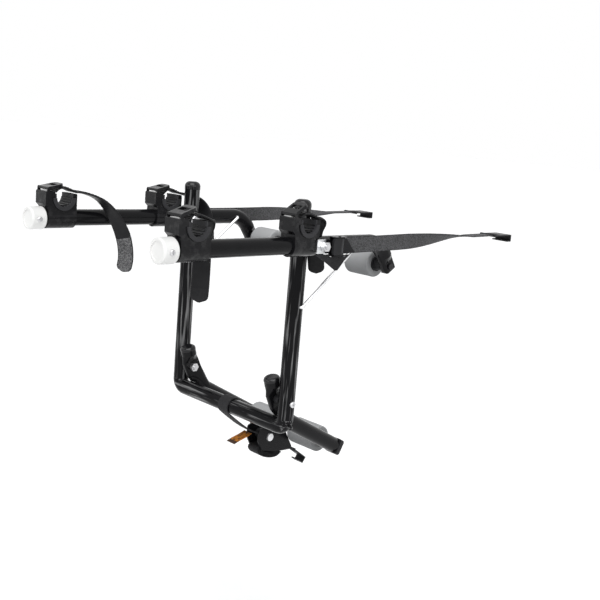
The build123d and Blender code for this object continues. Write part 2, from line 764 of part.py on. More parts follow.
# Lower strap: a loop round the bar at its middle, then webbing into the big cam buckle
def lower_strap():
    outer = tube_r + loop_gap + web_thick
    ring = across(outer, -web_wide / 2, web_wide / 2, z=-bar_drop)
    hole = web_wide / 2 + overrun
    ring -= across(tube_r + loop_gap, -hole, hole, z=-bar_drop)
    middle = tube_r + loop_gap + web_thick / 2
    knee, end = lower_knee, lower_web_end
    reach = hypot(knee[0], knee[1] + bar_drop)
    heading = atan2(knee[1] + bar_drop, knee[0]) - acos(middle / reach)
    leave = (middle * cos(heading), -bar_drop + middle * sin(heading))
    return ring + ribbon([(0, *leave), (0, *knee), (0, *end)], web_wide, web_thick)


def lower_strap_end():
    return ribbon([(0, *point) for point in lower_end_run], web_wide, web_thick)


# Big cam buckle: two side plates, a pin with broad heads, a front bar, and its lever
def lower_buckle():
    outline = make_face(Polyline(*lower_plate, close=True))
    outline = fillet(outline.vertices(), lower_plate_round)
    inner = web_wide / 2 + lower_plate_gap
    outer = inner + lower_plate_thick
    buckle = across(lower_pin_d / 2, -outer, outer, *lower_pin)
    buckle += across(lower_bar_d / 2, -outer, outer, *lower_bar)
    for side in (-1, 1):
        low, high = sorted([side * inner, side * outer])
        buckle += extrude_across(outline, low, high)
        head = across(lower_pin_head_d / 2, outer, outer + lower_pin_head_h, *lower_pin)
        buckle += mirrored(head, side)
    return buckle


def lower_buckle_lever():
    inside = web_wide / 2 + lower_plate_gap - seat_gap
    drum = across(lower_drum_d / 2, -inside, inside, *lower_pin)
    y, z = lower_pin
    top = z + lower_drum_d / 2
    tongue = block((-inside, inside), (y, y + lower_lever_long), (top - cam_lever_thick, top))
    tongue = fillet(tongue.edges().filter_by(Axis.Z).sort_by(Axis.Y)[-2:], cam_lever_thick)
    hinge = Pos(0, y, z) * Rot(X=-lower_lever_deg) * Pos(0, -y, -z)
    return drum + hinge * tongue - across(lower_pin_d / 2 + running, -inside * 2, inside * 2, *lower_pin)


def lower_hook():
    y, z = lower_hook_at
    hook = flat_hook(lower_hook_long, lower_hook_wide, lower_window_long)
    return Pos(0, y, z) * Rot(X=-lower_hook_deg) * hook


# Spare webbing of the lower strap, rolled up flat under the buckle
def roll_edge(offset):
    points = []
    for number in range(roll_turns * roll_points + 1):
        angle = 2 * pi * number / roll_points
        radius = roll_inner_d / 2 + roll_pitch * number / roll_points + offset
        points.append(((radius + roll_core) * cos(angle), radius * sin(angle)))
    return points


def lower_strap_roll():
    inner = roll_edge(-roll_thick / 2)
    outer = roll_edge(roll_thick / 2)
    edges = [Spline(*inner), Line(inner[-1], outer[-1]), Spline(*outer), Line(outer[0], inner[0])]
    roll = extrude_across(make_face(edges), -web_wide / 2, web_wide / 2)
    print("least gap in the webbing roll", round(roll_pitch - roll_thick, 2))
    return Pos(0, roll_forward, -roll_drop) * Rot(X=-roll_tilt_deg) * roll


# Cloth tag on the lower strap
def lower_strap_tag():
    tag = block((-tag_wide / 2, tag_wide / 2), (-tag_long, 0), (-tag_thick, 0))
    return Pos(0, tag_forward, -tag_drop) * Rot(X=tag_slope_deg) * tag


def placed_cradle(piece, side, at):
    return Pos(side * arm_x, -at, 0) * piece


def pair_of_cradles(piece, side):
    return Compound([placed_cradle(piece, side, at) for at in cradle_places.values()])


def build():
    os.makedirs("parts", exist_ok=True)
    nodes = {
        "main_frame": main_frame(),
        "post_caps": post_caps(),
        "corner_rivets": corner_rivets(),
        "pivot_bolts": pivot_bolts(),
        "foot_bolts": foot_bolts(),
        "bolt_nuts": bolt_nuts(),
        "bolt_spacers": bolt_spacers(),
        "strut_plugs": strut_plugs(),
        "foot_end_caps": foot_end_caps(),
        "foot_crossbar": crossbar(),
        "lower_strap": lower_strap(),
        "lower_strap_end": lower_strap_end(),
        "lower_buckle": lower_buckle(),
        "lower_buckle_lever": lower_buckle_lever(),
        "lower_hook": lower_hook(),
        "lower_strap_roll": lower_strap_roll(),
        "lower_strap_tag": lower_strap_tag(),
    }
    for side, name in ((-1, "left"), (1, "right")):
        nodes["arm_" + name] = carry_arm(side)
        nodes["arm_cap_" + name] = end_cap(side)
        nodes["arm_cap_screw_" + name] = end_cap_screw(side)
        nodes["brace_rod_" + name] = brace_rod(side)
        nodes["upper_pad_" + name] = upper_pad(side)
        nodes["upper_pad_spool_" + name] = upper_pad_spool(side)
        nodes["upper_pad_bolt_" + name] = upper_pad_bolt(side)
        nodes["foot_strut_" + name] = foot_strut(side)
        nodes["foot_pad_" + name] = foot_pad(side)
        nodes["foot_pad_spool_" + name] = foot_pad_spool(side)
        nodes["upper_buckle_" + name] = upper_buckle(side)
        nodes["upper_buckle_lever_" + name] = upper_buckle_lever(side)
        nodes["upper_strap_" + name] = upper_strap(side)
        nodes["upper_strap_tail_" + name] = upper_strap_tail(side)
        nodes["upper_hook_" + name] = upper_hook(side)
        nodes["cradles_" + name] = pair_of_cradles(cradle_base() + cradle_pin(), side)
        nodes["cradle_cushions_" + name] = pair_of_cradles(cradle_cushion(), side)
        for place, at in cradle_places.items():
            row = name + "_" + place
            strap = cradle_strap(side, row)
            buckle = cradle_buckle(buckle_tilts[row])
            nodes["cradle_strap_" + row] = placed_cradle(strap, side, at)
            nodes["cradle_buckle_" + row] = placed_cradle(buckle, side, at)
    for name, shape in nodes.items():
        export_step(shape, "parts/" + name + ".step")
    print(len(nodes), "nodes")


# Where the cradles sit behind the pivot bolt, and how far each buckle stands open
cradle_places = {"rear": cradle_rear_at, "front": cradle_front_at}
buckle_tilts = {"left_rear": 12, "right_rear": 20, "left_front": 14, "right_front": 32}

build()
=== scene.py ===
"""Trunk mounted bike rack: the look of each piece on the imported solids, in metres."""
import math
import bmesh
import bpy
from mathutils import Matrix, Vector


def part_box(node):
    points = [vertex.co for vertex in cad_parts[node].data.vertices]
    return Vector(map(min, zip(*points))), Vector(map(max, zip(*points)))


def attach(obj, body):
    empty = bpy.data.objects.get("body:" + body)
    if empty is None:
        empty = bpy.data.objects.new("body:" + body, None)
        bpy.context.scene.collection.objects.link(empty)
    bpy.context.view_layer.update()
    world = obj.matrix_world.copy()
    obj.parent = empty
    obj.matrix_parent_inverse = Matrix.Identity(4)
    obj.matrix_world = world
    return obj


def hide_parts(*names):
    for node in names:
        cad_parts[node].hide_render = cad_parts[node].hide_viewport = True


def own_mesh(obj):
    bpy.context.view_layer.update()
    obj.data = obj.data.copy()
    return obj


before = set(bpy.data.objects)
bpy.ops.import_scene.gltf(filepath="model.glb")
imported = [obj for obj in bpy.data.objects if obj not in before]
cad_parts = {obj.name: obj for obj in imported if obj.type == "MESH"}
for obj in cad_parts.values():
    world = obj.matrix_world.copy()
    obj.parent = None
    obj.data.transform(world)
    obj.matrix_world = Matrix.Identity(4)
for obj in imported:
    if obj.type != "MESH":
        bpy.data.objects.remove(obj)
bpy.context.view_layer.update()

# Steel tubes. The real frame is one-inch steel tube, bent, drilled and pressed flat where
# it is bolted. Thick, glossy black powder coat covers it, and painted reflection streaks run along
# it.
mm = 0.001
sides = {"left": -1, "right": 1}
scene = bpy.context.scene


class Value:
    """A number or colour made by a shader node, with sums written as sums."""

    def __init__(self, shader, out):
        self.shader, self.out = shader, out

    def _with(self, kind, other, swap=False):
        node = self.shader.tree.nodes.new("ShaderNodeMath")
        node.operation = kind
        pair = (other, self) if swap else (self, other)
        for slot, item in zip(node.inputs, pair):
            self.shader.feed(slot, item)
        return Value(self.shader, node.outputs[0])

    def __add__(self, other): return self._with("ADD", other)
    def __radd__(self, other): return self._with("ADD", other)
    def __sub__(self, other): return self._with("SUBTRACT", other)
    def __rsub__(self, other): return self._with("SUBTRACT", other, True)
    def __mul__(self, other): return self._with("MULTIPLY", other)
    def __rmul__(self, other): return self._with("MULTIPLY", other)
    def __gt__(self, other): return self._with("GREATER_THAN", other)
    def __lt__(self, other): return self._with("LESS_THAN", other)
    def sin(self): return self._with("SINE", 0)
    def abs(self): return self._with("ABSOLUTE", 0)
    def min(self, other): return self._with("MINIMUM", other)
    def max(self, other): return self._with("MAXIMUM", other)


class Shader:
    """One material, or the world, and the nodes that make it."""

    def __init__(self, name, holder=None):
        self.material = holder or bpy.data.materials.new(name)
        self.material.use_nodes = True
        self.tree = self.material.node_tree
        self.bsdf = self.tree.nodes.get("Principled BSDF")

    def feed(self, slot, item):
        if isinstance(item, Value):
            self.tree.links.new(item.out, slot)
        elif item is not None:
            slot.default_value = item

    def node(self, kind, out=0, settings=None, **inputs):
        made = self.tree.nodes.new("ShaderNode" + kind)
        for key, item in (settings or {}).items():
            setattr(made, key, item)
        for key, item in inputs.items():
            self.feed(made.inputs[key.replace("_", " ")], item)
        return Value(self, made.outputs[out])

    def parts(self, vector):
        split = self.node("SeparateXYZ", Vector=vector)
        return [Value(self, part) for part in split.out.node.outputs]

    def place(self):
        return self.node("TexCoord", out="Object")

    def strip(self):
        """Metres along and across a strip, from its UV map."""
        return self.parts(self.node("UVMap", settings={"uv_map": "strip"}))[:2]

    def noise(self, scale, detail=3.0, stretch=(1, 1, 1)):
        spot = self.node("Mapping", Vector=self.place(), Scale=stretch)
        return self.node("TexNoise", Vector=spot, Scale=scale, Detail=detail)

    def mix(self, factor, first, second):
        made = self.tree.nodes.new("ShaderNodeMix")
        made.data_type = "RGBA"
        for number, item in ((0, factor), (6, first), (7, second)):
            if isinstance(item, tuple):
                item = (*item, 1.0)
            self.feed(made.inputs[number], item)
        return Value(self, made.outputs[2])

    def bump(self, height, depth, strength=0.6):
        return self.node("Bump", Height=height, Distance=depth, Strength=strength)

    def surface(self, color, rough, metal=0.0, coat=0.0, bump=None, shine=0.5):
        given = {"Base Color": color, "Roughness": rough, "Metallic": metal,
                 "Coat Weight": coat, "Normal": bump, "Specular IOR Level": shine}
        for key, item in given.items():
            self.feed(self.bsdf.inputs[key], item)
        return self.material


def gloss_paint(name, dark, light, bar_below=None):
    """Powder coat with painted reflection streaks, which run along Z, and along X on a bar that
    lies below a height.
    """
    s = Shader(name)
    broad, peel = s.noise(35), s.noise(160, 2)
    lines = s.noise(230, 3, (1, 1, 0.05))
    if bar_below is not None:
        lying = s.parts(s.place())[2] < bar_below
        lines = lying * s.noise(300, 3, (0.04, 1, 1)) + (1 - lying) * lines
    # Painted reflection: grey streaks are mixed into the black colour, and the coat follows them.
    painted_streak = ((lines - 0.54) * 7.0).max(0.0).min(1.0)
    color = s.mix(painted_streak * 0.8, s.mix(broad, dark, light), (0.17, 0.17, 0.172))
    skin = s.bump(peel, 0.0003, 0.2)
    return s.surface(color, 0.12 + 0.12 * broad, 0.0, 0.6 * painted_streak, skin, 0.08)


def plastic(name, dark, light, rough, depth=0.0001, scale=1500, shine=0.13, patches=0.0):
    """Moulded plastic; patches is how much of a glossy skin lies on it, unevenly."""
    s = Shader(name)
    grain, broad = s.noise(scale, 2), s.noise(40)
    skin = ((s.noise(110, 2) - 0.5) * 5.0).max(0.0).min(1.0) * patches
    color = s.mix(broad, dark, light)
    return s.surface(color, rough + 0.12 * grain, 0.0, skin, s.bump(grain, depth, 0.35), shine)


def dress(node, material):
    """Gives a carried-over solid its material."""
    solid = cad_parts[node]
    solid.data.materials.clear()
    solid.data.materials.append(material)
    solid.data.polygons.foreach_set("material_index", [0] * len(solid.data.polygons))


bar_top = -274 * mm
paint_black, paint_worn = (0.003, 0.003, 0.0035), (0.008, 0.008, 0.009)
# The frame paint carries painted reflection streaks in its colour.
paint = gloss_paint("frame paint", paint_black, (0.007, 0.007, 0.008), bar_top)
for node in ("main_frame", "foot_crossbar", "corner_rivets"):
    dress(node, paint)
arm_paint = plastic("arm paint", paint_black, paint_worn, 0.1, 0.00005, 200)
for side in sides:
    dress("arm_" + side, arm_paint)
    dress("foot_strut_" + side, arm_paint)


# Fasteners and plugs. The bolts, nuts and screws are zinc plated steel with fine turning
# marks. The spacers beside the arms are black nylon, and the domed plugs are glossy.
def metal(name, dark, light, rough, grain, relief=0.3):
    s = Shader(name)
    fine, broad = s.noise(1400, 2, grain), s.noise(60)
    color = s.mix(fine * 0.6 + broad * 0.4, dark, light)
    return s.surface(color, rough + 0.18 * fine, 1.0, 0.0, s.bump(fine, 0.00005, relief))


zinc = metal("zinc plate", (0.45, 0.45, 0.46), (0.78, 0.78, 0.79), 0.22, (1, 0.1, 0.1))
black_plastic = plastic("black plastic", (0.012, 0.012, 0.013), (0.022, 0.022, 0.024), 0.38)
for node in ("pivot_bolts", "foot_bolts", "bolt_nuts"):
    dress(node, zinc)
for side in sides:
    dress("arm_cap_screw_" + side, zinc)
for node in ("bolt_spacers", "foot_end_caps"):
    dress(node, black_plastic)
cap_gloss = plastic("glossy cap plastic", (0.004, 0.004, 0.005), (0.01, 0.01, 0.011), 0.08,
                    0.00003, shine=0.3)
for node in ("post_caps", "strut_plugs", "upper_pad_bolt_left", "upper_pad_bolt_right"):
    dress(node, cap_gloss)

# Braces. Each is one bright plated steel rod, bent in at both ends, with soft streaks
# along it from drawing.
bright_rod = metal("bright rod", (0.74, 0.74, 0.75), (0.86, 0.86, 0.87), 0.3, (1, 1, 1), 0.05)
for side in sides:
    dress("brace_rod_" + side, bright_rod)

# Arm caps. They are white moulded plastic with a dished rear face, pushed on to the arms
# and held by a screw.
white = plastic("white plastic", (0.76, 0.76, 0.745), (0.84, 0.84, 0.83), 0.28, shine=0.4)
for side in sides:
    dress("arm_cap_" + side, white)

# Cradles. The saddle, walls and buckle are moulded in semi-gloss black; the cushion in
# the cup is softer dark grey rubber.
cradle_black = plastic("cradle plastic", (0.004, 0.004, 0.005), (0.012, 0.012, 0.013), 0.16,
                       0.0002, 200, 0.16, 0.3)
cushion_grey = plastic("cushion rubber", (0.022, 0.022, 0.024), (0.045, 0.045, 0.048), 0.42,
                       0.0002, 700)
for side in sides:
    dress("cradles_" + side, cradle_black)
    dress("cradle_cushions_" + side, cushion_grey)
    for row in ("rear", "front"):
        dress("cradle_buckle_%s_%s" % (side, row), cradle_black)


# Cradle straps. Each is a moulded rubber ladder strap, smooth and black near the cradle.
# Its hanging end is ribbed, paler with dust, and turns a little as it falls.
def route(points):
    """Points along the smooth line of a strap whose route is given in millimetres."""
    curve = bpy.data.curves.new("route", "CURVE")
    curve.dimensions = "3D"
    spline = curve.splines.new("NURBS")
    spline.points.add(len(points) - 1)
    for place, point in zip(spline.points, points):
        place.co = (*(mm * v for v in point), 1)
    spline.order_u = 3
    spline.use_endpoint_u = True
    spline.resolution_u = 10
    holder = bpy.data.objects.new("route", curve)
    scene.collection.objects.link(holder)
    mesh = bpy.data.meshes.new_from_object(holder)
    line = [v.co.copy() for v in mesh.vertices]
    bpy.data.objects.remove(holder)
    bpy.data.curves.remove(curve)
    bpy.data.meshes.remove(mesh)
    return line


def rounded_section(wide, thick):
    """Outline of a strap across its length, with rounded edges."""
    corner = thick / 2
    arc = []
    for centre, start in ((wide / 2 - corner, -90), (corner - wide / 2, 90)):
        for step in range(7):
            turn = math.radians(start + 30 * step)
            arc.append((centre + corner * math.cos(turn), corner * math.sin(turn)))
    section = []
    for a, b in zip(arc, arc[1:] + arc[:1]):
        section.append(a)
        if abs(b[0] - a[0]) > wide / 2:
            section += [(a[0] + (b[0] - a[0]) * step / 6, a[1]) for step in range(1, 6)]
    return section


def outward(made):
    """Turns the faces of a closed mesh outwards."""
    work = bmesh.new()
    work.from_mesh(made.data)
    bmesh.ops.recalc_face_normals(work, faces=work.faces)
    work.to_mesh(made.data)
    work.free()


def shown(name, verts, faces, material, smooth=True):
    """A new mesh object in the scene."""
    mesh = bpy.data.meshes.new(name)
    mesh.from_pydata([tuple(v) for v in verts], [], faces)
    mesh.polygons.foreach_set("use_smooth", [smooth] * len(faces))
    mesh.materials.append(material)
    made = bpy.data.objects.new(name, mesh)
    scene.collection.objects.link(made)
    return made


def strip(name, path, across, wide, thick, material, width_at=None):
    """A closed band along path, which turns so that its width follows across(share)."""
    section = rounded_section(wide, thick)
    count = len(section)
    along = [0.0]
    for a, b in zip(path, path[1:]):
        along.append(along[-1] + (b - a).length)
    verts, faces = [], []
    for number, point in enumerate(path):
        way = (path[min(number + 1, len(path) - 1)] - path[max(number - 1, 0)]).normalized()
        side = across(along[number] / along[-1])
        side = (side - way * side.dot(way)).normalized()
        face = way.cross(side)
        scale = width_at(along[number], along[-1]) if width_at else 1.0
        verts += [point + side * (u * scale) + face * v for u, v in section]
    for row in range(len(path) - 1):
        for step in range(count):
            a, b = row * count + step, row * count + (step + 1) % count
            faces.append((a, b, b + count, a + count))
    faces.append(tuple(reversed(range(count))))
    faces.append(tuple(range((len(path) - 1) * count, len(path) * count)))
    made = shown(name, verts, faces, material)
    layer = made.data.uv_layers.new(name="strip")
    for loop in made.data.loops:
        row, step = divmod(loop.vertex_index, count)
        layer.data[loop.index].uv = (along[row], section[step][0])
    for polygon in made.data.polygons[-2:]:
        polygon.use_smooth = False
    outward(made)
    return made


strap_wide, strap_thick, tip_radius = 25 * mm, 2.8 * mm, 9 * mm
ribbed_wide, diamond = 22.4 * mm, 3.4 * mm


def strap_rubber(name, ribbed_from, dust):
    """Black rubber with raised diamonds beyond a length, where dust makes it grey."""
    s = Shader(name)
    along, across = s.strip()
    broad, grain = s.noise(50), s.noise(1200, 2)
    ribs = ((along + across) * (math.pi * 2 / diamond)).sin()
    columns = ((along - across) * (math.pi * 2 / diamond)).sin()
    speck = s.noise(420, 2)
    ribbed = (along > ribbed_from) * (across.abs() < ribbed_wide / 2)
    marked = ribbed * (0.35 + 0.4 * ribs * columns + 1.6 * (speck - 0.5)) * dust + broad * 0.05
    color = s.mix(marked.max(0.0).min(1.0), (0.006, 0.006, 0.007), (0.30, 0.30, 0.305))
    relief = s.bump((ribs + columns) * ribbed * dust + grain * 0.1, 0.0004, 0.8)
    return s.surface(color, 0.3 + 0.3 * ribbed * dust + 0.1 * grain, 0.0, 0.0, relief, 0.12)


arm_x, cup_x = 163.5, {"rear": 229, "front": 30}
cup_span = [(0, -12.3, 40.2), (0, -7.7, 45.5), (0, 0, 46.6), (0, 7.7, 45.5), (0, 22, 39.8)]
tails = {
    "left_rear": [(3, 29, 40), (9, 41, 38), (17, 55, 33), (24, 67, 23), (28, 79, 8),
                  (29, 90, -9), (29, 99, -26), (29, 105, -48), (29, 106, -70), (29, 101, -84)],
    "right_rear": [(4, 28, 38.5), (10, 34, 34), (19, 40, 27), (26, 43, 16), (29, 44, 1),
                   (29, 44, -18), (29, 44, -40), (29, 44, -60), (29, 43, -78)],
    "left_front": [(1, 28, 39.5), (3, 36, 38), (9, 45, 35), (19, 52, 28), (29, 58, 17),
                   (33, 62, 1), (33, 65, -19), (33, 67, -40), (33, 68, -60)],
    "right_front": [(1, 28, 39.5), (3, 36, 37), (10, 44, 32), (21, 50, 23), (30, 56, 10),
                    (33, 61, -6), (33, 66, -22), (33, 70, -38), (33, 72, -50)],
}
ribbed_from = 155 * mm
dusty = strap_rubber("dusty strap rubber", ribbed_from, 1.0)
clean = strap_rubber("strap rubber", ribbed_from, 0.03)


def round_tip(radius):
    """How the width falls off towards a round end, as a share."""
    def width_at(gone, total):
        rest = min(max((total - gone) / radius, 0.0), 1.0)
        return max(math.sqrt(1 - (1 - rest) ** 2), 0.12)
    return width_at


def falling(share):
    """Across the car over the cup, then slowly turned towards the rear corner."""
    turned = min(max((share - 0.35) / 0.35, 0.0), 1.0)
    return Vector((1, 0, 0)).lerp(Vector((0.72, 0.69, 0)), turned)


for side, sign in sides.items():
    for row, back in cup_x.items():
        name = side + "_" + row
        path = route([(sign * (arm_x - x), y - back, z) for x, y, z in cup_span + tails[name]])
        rubber = dusty if name == "left_rear" else clean
        made = strip("strap_" + name, path, falling, strap_wide, strap_thick, rubber,
                     round_tip(tip_radius))
        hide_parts("cradle_strap_" + name)
        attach(made, "arm_" + side)
        # When the arm folds down, the loose end is pushed up along the upright.
        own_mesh(made)


# Pads. Each roller is light grey closed-cell foam, slit along one line so that it could
# be pushed on to its spool, and its cut edges are soft.
def foam_look():
    """Foam that is paler where it faces up, which is painted light from above."""
    s = Shader("grey foam")
    broad, cells = s.noise(45), s.noise(1600, 4)
    # Painted light: the colour lightens as the surface turns upwards.
    painted_top_light = 0.5 + 0.5 * s.parts(s.node("NewGeometry", out="Normal"))[2]
    shade = painted_top_light * 0.75 + broad * 0.15 + cells * 0.1
    color = s.mix(shade, (0.10, 0.103, 0.106), (0.42, 0.425, 0.43))
    return s.surface(color, 0.72 + 0.2 * cells, 0.0, 0.0, s.bump(cells + broad, 0.0005, 0.5))


foam = foam_look()


def roller(name, node, bore):
    """A foam tube along X in the place of a solid, with its slit."""
    lo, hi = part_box(node)
    centre, radius, long = (lo + hi) / 2, (hi.z - lo.z) / 2, hi.x - lo.x
    turns, corner, bore_edge, slit_deep, slit_side = 144, 2.5 * mm, 0.4 * mm, 3 * mm, 1.2 * mm
    section = [(-long / 2 + bore_edge, bore), (-long / 2, bore + bore_edge)]
    section += [(-long / 2, radius - corner)]
    for k in range(1, 6):
        turn = math.radians(18 * k)
        section.append((-long / 2 + corner * (1 - math.cos(turn)),
                        radius - corner * (1 - math.sin(turn))))
    section += [(-long / 2 + long * k / 8, radius) for k in range(1, 4)]
    section += [(-x, r) for x, r in reversed(section)]
    verts, faces = [], []
    for t in range(turns):
        angle = 2 * math.pi * t / turns
        groove = slit_deep if t == 0 else (slit_side if t in (1, turns - 1) else 0)
        swell = 1 + 0.006 * math.sin(3 * angle) - 0.004 * math.sin(5 * angle)
        for x, r in section:
            depth = groove * max(0.0, (r - bore) / (radius - bore)) ** 3
            reach = bore + (r - bore) * min(swell, 1.0) - depth
            verts.append((centre.x + x, centre.y + reach * math.sin(angle),
                          centre.z + reach * math.cos(angle)))
    count = len(section)
    for t in range(turns):
        for k in range(count):
            a, b = t * count + k, t * count + (k + 1) % count
            c, d = (t + 1) % turns * count + (k + 1) % count, (t + 1) % turns * count + k
            faces.append((a, b, c, d))
    made = shown(name, verts, faces, foam)
    outward(made)
    return made


upper_bore, foot_bore = 6.3 * mm, 10.3 * mm
for side in sides:
    for place, node, body, bore in (
            ("upper", "upper_pad_" + side, "pad_" + side, upper_bore),
            ("foot", "foot_pad_" + side, "foot_roller_" + side, foot_bore)):
        made = roller(place + "_roller_" + side, node, bore)
        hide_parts(node)
        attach(made, body)
    dress("upper_pad_spool_" + side, black_plastic)
    dress("foot_pad_spool_" + side, black_plastic)


# Upper straps. Black polyester webbing stands on edge at the cam buckle and turns flat
# on its way to a coated steel hook; its spare end hangs folded below the buckle.
web_wide, web_thick, web_row, web_column = 25 * mm, 1.8 * mm, 1.8 * mm, 2.5 * mm
web_face = 22.4 * mm


def webbing_look(name, dark, light, painted_shadow_line=None):
    """Woven band; given a shadow line, it is black up to that slanting line beside its buckle, as
    painted shadow.
    """
    s = Shader(name)
    along, across = s.strip()
    row = (along * (math.pi * 2 / web_row)).sin()
    column = (across * (math.pi * 2 / web_column)).sin()
    weave = row * 0.5 + (row * column) * 0.5
    edge = across.abs() > web_face / 2
    broad, speck = s.noise(70), s.noise(520, 2)
    mix = 0.38 + weave * 0.2 + 0.2 * (broad - 0.5) + 1.3 * (speck - 0.5) - edge * 0.2
    # Painted shadow: the weave is made black on the buckle's side of the slanting line.
    if painted_shadow_line:
        y, z = s.parts(s.place())[1:]
        mix = mix * ((y + z * 0.96) > painted_shadow_line)
    color = s.mix(mix.max(0.0), dark, light)
    return s.surface(color, 0.6 + 0.15 * broad, 0.0, 0.0, s.bump(weave, 0.0004, 0.9), 0.2)


def cam_steel(name, centre, reach, dark, light, ridge=(0, 0)):
    """Black coat, bare near a centre in Y and Z, with a grey ridge between two values of Y."""
    s = Shader(name)
    y, z = s.parts(s.place())[1:]
    off_y, off_z = y - centre[0] * mm, z - centre[1] * mm
    bare = (off_y * off_y + off_z * off_z) < (reach * mm) ** 2
    fine = s.noise(1400, 2, (0.2, 1, 1))
    black = s.mix(fine, (0.004, 0.004, 0.005), (0.011, 0.011, 0.012))
    # Between the two values of Y the black coat is made grey, a ridge.
    marked = s.mix((y > ridge[0] * mm) * (y < ridge[1] * mm), black, (0.1, 0.1, 0.105))
    color = s.mix(bare, marked, s.mix(fine, dark, light))
    rough = 0.2 + 0.15 * fine + bare * 0.04
    return s.surface(color, rough, bare, 0.0, s.bump(fine, 0.00005, 0.3), 0.12)


# The upper webbing has painted shadow up to a slanting line beside its buckle.
webbing = webbing_look("upper webbing", (0.005, 0.005, 0.006), (0.17, 0.17, 0.175), 58.5 * mm)
# A darker copy of the same webbing; its darkness is painted shade.
shaded_webbing = webbing_look("dark webbing", (0.006, 0.006, 0.007), (0.03, 0.03, 0.032))
hook_coat = plastic("hook coating", (0.008, 0.008, 0.009), (0.02, 0.02, 0.021), 0.3)
cam_look = cam_steel("cam buckle", (-40, 0), 44, (0.55, 0.56, 0.57), (0.85, 0.86, 0.87), (31, 34))
lowest_fold, tail_gap = 24 * mm, 0.1 * mm
spare = [(-17.6, -11.6), (10.2, -11.6), (11.6, -15.6), (39.2, -15.6), (42.2, -13.6), (53.5, -13.6),
         (42.8, -22.7), (30.4, -36.1), (25.6, -36.1), (8.3, -25.7)]


def slab(name, outline, at, thick, material):
    """A flat cut of webbing that stands on edge, its outline given as Y and Z."""
    count = len(outline)
    verts = [(at + push, y * mm, z * mm) for push in (0, thick) for y, z in outline]
    faces = [tuple(range(count)), tuple(reversed(range(count, 2 * count)))]
    faces += [(k, (k + 1) % count, (k + 1) % count + count, k + count) for k in range(count)]
    made = shown(name, verts, faces, material, False)
    layer = made.data.uv_layers.new(name="strip")
    for loop in made.data.loops:
        spot = made.data.vertices[loop.vertex_index].co
        layer.data[loop.index].uv = (spot.y, (spot.z + lowest_fold) * 0.9)
    outward(made)
    return made


def area_of(outline):
    pairs = zip(outline, outline[1:] + outline[:1])
    return abs(sum(a[0] * b[1] - b[0] * a[1] for a, b in pairs)) / 2 * mm * mm


for side, sign in sides.items():
    dress("upper_buckle_" + side, cam_look)
    dress("upper_buckle_lever_" + side, black_plastic)
    dress("upper_hook_" + side, hook_coat)
    run = [(180.5, 38.5, 0), (178.6, 60, 0.3), (178.5, 120, 0.6), (178.5, 180, 1.6),
           (177.6, 230, 2.6), (172.5, 281, 3.6), (167.5, 332, 4.6), (166.5, 382, 5.5),
           (166.5, 429.6, 6)]
    path = route([(sign * x, y, z) for x, y, z in run])
    turn_from, turn_to = 190 * mm, 372 * mm

    def turning(share, sign=sign, path=path):
        y = path[0].y + (path[-1].y - path[0].y) * share
        t = min(max((y - turn_from) / (turn_to - turn_from), 0), 1)
        angle = math.pi / 2 * (1 - t)
        return Vector((sign * math.cos(angle), 0, math.sin(angle)))

    made = strip("webbing_" + side, path, turning, web_wide, web_thick, webbing)
    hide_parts("upper_strap_" + side)
    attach(made, "arm_" + side)
    lo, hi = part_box("upper_strap_tail_" + side)
    inner = lo.x if sign > 0 else hi.x
    # The spare end uses the darker webbing, whose darkness is painted shade.
    made = slab("spare_" + side, spare, inner + sign * tail_gap, sign * web_thick, shaded_webbing)
    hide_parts("upper_strap_tail_" + side)
    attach(made, "arm_" + side)
    wide = max(y for y, z in spare) - min(y for y, z in spare)
    tall = max(z for y, z in spare) - min(z for y, z in spare)
    wide * mm
    tall * mm
    area_of(spare)

# Lower strap. The same webbing loops round the lower bar and runs down into a big cam
# buckle with black side plates; the spare length is rolled up flat under it.
plate_look = cam_steel("lower buckle coat", (82, -353), 6.6, (0.6, 0.6, 0.61), (0.86, 0.86, 0.87))
dress("lower_buckle", plate_look)
dress("lower_buckle_lever", black_plastic)
dress("lower_hook", hook_coat)
bar_z, bar_r, loop_from, loop_step, loop_points = -288, 14.5, 500, 28, 11
loop = []
for step in range(loop_points):
    turn = math.radians(loop_from - loop_step * step)
    loop.append((0, bar_r * math.sin(turn), bar_z + bar_r * math.cos(turn)))
path = route(loop + [(0, 42, -338), (0, 71, -350)])
sideways = Vector((1, 0, 0))
# The lower webbing, its end and the roll use the darker webbing, whose darkness is painted shade.
lower = strip("lower_webbing", path, lambda share: sideways, web_wide, web_thick, shaded_webbing)
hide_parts("lower_strap")
last = [Vector((0, y * mm, z * mm)) for y, z in ((131.6, -377.6), (139.5, -382.8), (147.3, -387.8))]
end = strip("lower_webbing_end", last, lambda share: sideways, web_wide, web_thick, shaded_webbing)
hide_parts("lower_strap_end")
for made in (lower, end):
    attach(made, "frame")

# Roll of spare webbing. It winds in flat turns, and its outer end comes from the buckle.
turns, turn_points, lean = 4, 12, math.radians(-14)
inner_r, core, pitch, roll_y, roll_z, roll_thick = 2.0, 17.0, 2.6, 86, -379, 1.6 * mm
winding = []
for step in range(turns * turn_points + 1):
    angle = 2 * math.pi * step / turn_points
    reach = inner_r + pitch * step / turn_points
    y, z = (reach + core) * math.cos(angle), reach * math.sin(angle)
    winding.append((0, roll_y + y * math.cos(lean) - z * math.sin(lean),
                    roll_z + y * math.sin(lean) + z * math.cos(lean)))
path = route(list(reversed(winding)))
made = strip("webbing_roll", path, lambda share: sideways, web_wide, roll_thick, shaded_webbing)
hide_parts("lower_strap_roll")
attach(made, "frame")


# Tag. A short strip of orange cloth with a dark sewn edge hangs from the lower strap.
tag_wide, tag_thick, sewn_to, hem_from = 20 * mm, 0.7 * mm, 5 * mm, 32 * mm


